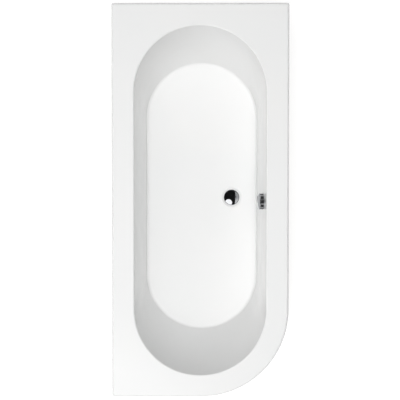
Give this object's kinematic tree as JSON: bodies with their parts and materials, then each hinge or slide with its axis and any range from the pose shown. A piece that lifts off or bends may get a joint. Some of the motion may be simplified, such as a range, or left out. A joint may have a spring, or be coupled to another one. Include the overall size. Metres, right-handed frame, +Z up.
{
  "type": "bathtub",
  "caption": "White corner bathtub with a flat rim, one rounded corner, an oval double-ended basin, side pop-up waste, turn-knob overflow and a cradle on levelling feet.",
  "frame": {"origin": "on the floor under the middle of the rim's outline", "axes": "+Z up, +Y towards the head end along the bath's length, +X towards the side with the rounded corner, the waste and the overflow"},
  "size_m": [0.804, 1.785, 0.6],
  "materials": {
    "acrylic": "gloss",
    "fibreglass": "rough sprayed",
    "chipboard": "raw",
    "softwood": "sawn",
    "galvanised_steel": "galvanised",
    "zinc_steel": "zinc plated",
    "chrome": "polished",
    "rubber": "matt",
    "black_plastic": "moulded",
    "white_plastic": "moulded",
    "grey_plastic": "moulded"
  },
  "bodies": {
    "bath": {"base_board": "chipboard", "bath_shell": "acrylic", "bracket_screws": "zinc_steel", "cradle_rail_foot": "galvanised_steel", "cradle_rail_head": "galvanised_steel", "cradle_screws": "zinc_steel", "eye_cap": "white_plastic", "eye_seal": "rubber", "fibreglass_backing": "fibreglass", "lever_pin": "zinc_steel", "lock_nuts": "zinc_steel", "overflow_body": "white_plastic", "overflow_flange": "chrome", "overflow_pipe": "white_plastic", "overflow_seal": "rubber", "pipe_nut_lower": "white_plastic", "pipe_nut_upper": "white_plastic", "pipe_seal_lower": "rubber", "pipe_seal_upper": "rubber", "rail_nuts": "zinc_steel", "rim_batten_foot": "softwood", "rim_batten_head": "softwood", "rim_batten_left": "softwood", "rim_batten_right": "softwood", "trap_bend": "white_plastic", "trap_inlet_nut": "white_plastic", "trap_inlet_seal": "rubber", "trap_outlet_nut": "white_plastic", "trap_outlet_seal": "rubber", "wall_bracket_head": "galvanised_steel", "wall_bracket_left_foot": "galvanised_steel", "wall_bracket_left_head": "galvanised_steel", "waste_body": "white_plastic", "waste_bottom_washer": "rubber", "waste_flange": "chrome", "waste_top_gasket": "rubber"},
    "knob": {"overflow_knob": "chrome", "knob_spindle": "zinc_steel", "cable_drum": "grey_plastic"},
    "plug": {"plug_cap": "chrome", "plug_seal": "rubber", "plug_stem": "zinc_steel"},
    "lever": {"lift_lever": "grey_plastic"},
    "foot_left_foot": {"foot_rod_left_foot": "zinc_steel", "foot_shoe_left_foot": "black_plastic", "foot_sole_left_foot": "rubber"},
    "foot_left_head": {"foot_rod_left_head": "zinc_steel", "foot_shoe_left_head": "black_plastic", "foot_sole_left_head": "rubber"},
    "foot_right_foot": {"foot_rod_right_foot": "zinc_steel", "foot_shoe_right_foot": "black_plastic", "foot_sole_right_foot": "rubber"},
    "foot_right_head": {"foot_rod_right_head": "zinc_steel", "foot_shoe_right_head": "black_plastic", "foot_sole_right_head": "rubber"}
  },
  "joints": [
    {"name": "knob_turn", "type": "hinge", "parent": "bath", "child": "knob", "pos_m": [0.29035, -0.006, 0.51], "axis": [-0.9954, 0, 0.0957], "range_deg": [0, 90]},
    {"name": "plug_lift", "type": "slide", "parent": "bath", "child": "plug", "axis": [0, 0, 1], "range_m": [0, 0.01]},
    {"name": "lever_swing", "type": "hinge", "parent": "bath", "child": "lever", "pos_m": [0.17923, -0.006, 0.131], "axis": [0, 1, 0], "range_deg": [0, 15.14]},
    {"name": "foot_height_left_foot", "type": "slide", "parent": "bath", "child": "foot_left_foot", "axis": [0, 0, -1], "range_m": [0, 0.04]},
    {"name": "foot_height_left_head", "type": "slide", "parent": "bath", "child": "foot_left_head", "axis": [0, 0, -1], "range_m": [0, 0.04]},
    {"name": "foot_height_right_foot", "type": "slide", "parent": "bath", "child": "foot_right_foot", "axis": [0, 0, -1], "range_m": [0, 0.04]},
    {"name": "foot_height_right_head", "type": "slide", "parent": "bath", "child": "foot_right_head", "axis": [0, 0, -1], "range_m": [0, 0.04]}
  ],
  "couplings": [
    {"joint": "plug_lift", "follows": "knob_turn", "m_per_rad": 0.006366},
    {"joint": "lever_swing", "follows": "knob_turn", "ratio": 0.16802}
  ]
}
